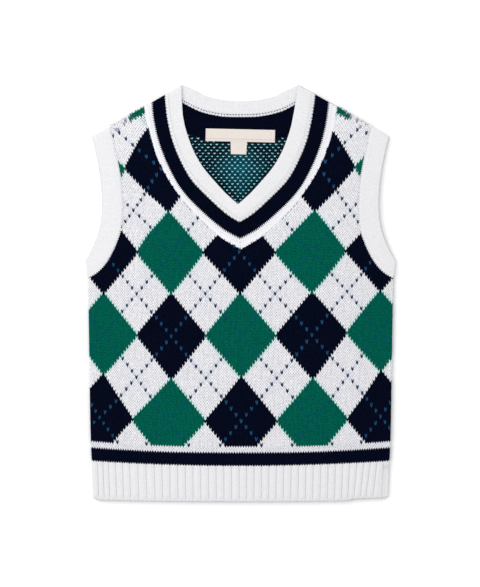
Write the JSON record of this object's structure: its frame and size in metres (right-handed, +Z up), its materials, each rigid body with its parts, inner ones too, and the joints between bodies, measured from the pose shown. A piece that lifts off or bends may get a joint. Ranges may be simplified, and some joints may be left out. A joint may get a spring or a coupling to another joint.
{
  "type": "knitted sweater vest",
  "caption": "Child's V-neck knitted sweater vest in argyle, laid flat face up, with ribbed neck, armholes and hem.",
  "frame": {"origin": "centre of the bounding box's bottom: the middle of the vest, on the surface it lies on", "axes": "+X across the vest towards the viewer's right when it lies face up, +Y from the hem to the neck, +Z up from the surface"},
  "size_m": [0.3088, 0.4162, 0.0079],
  "materials": {
    "argyle_knit": "matte cotton jacquard knit, white, navy and green",
    "white_rib": "matte cotton rib knit",
    "navy_knit": "matte cotton jersey knit",
    "woven_label": "satin woven tape"
  },
  "bodies": {
    "root": {"front_panel": "argyle_knit", "back_panel": "argyle_knit", "hem_rib_front": "white_rib", "hem_rib_back": "white_rib", "neck_rib_front_left": "white_rib", "neck_rib_front_right": "white_rib", "neck_rib_back": "white_rib", "neck_stripes_front_left": "navy_knit", "neck_stripes_front_right": "navy_knit", "neck_stripes_back": "navy_knit", "back_neck_facing": "navy_knit", "armhole_rib_front_left": "white_rib", "armhole_rib_front_right": "white_rib", "armhole_rib_back_left": "white_rib", "armhole_rib_back_right": "white_rib", "neck_label": "woven_label", "size_tab": "woven_label"}
  },
  "joints": []
}
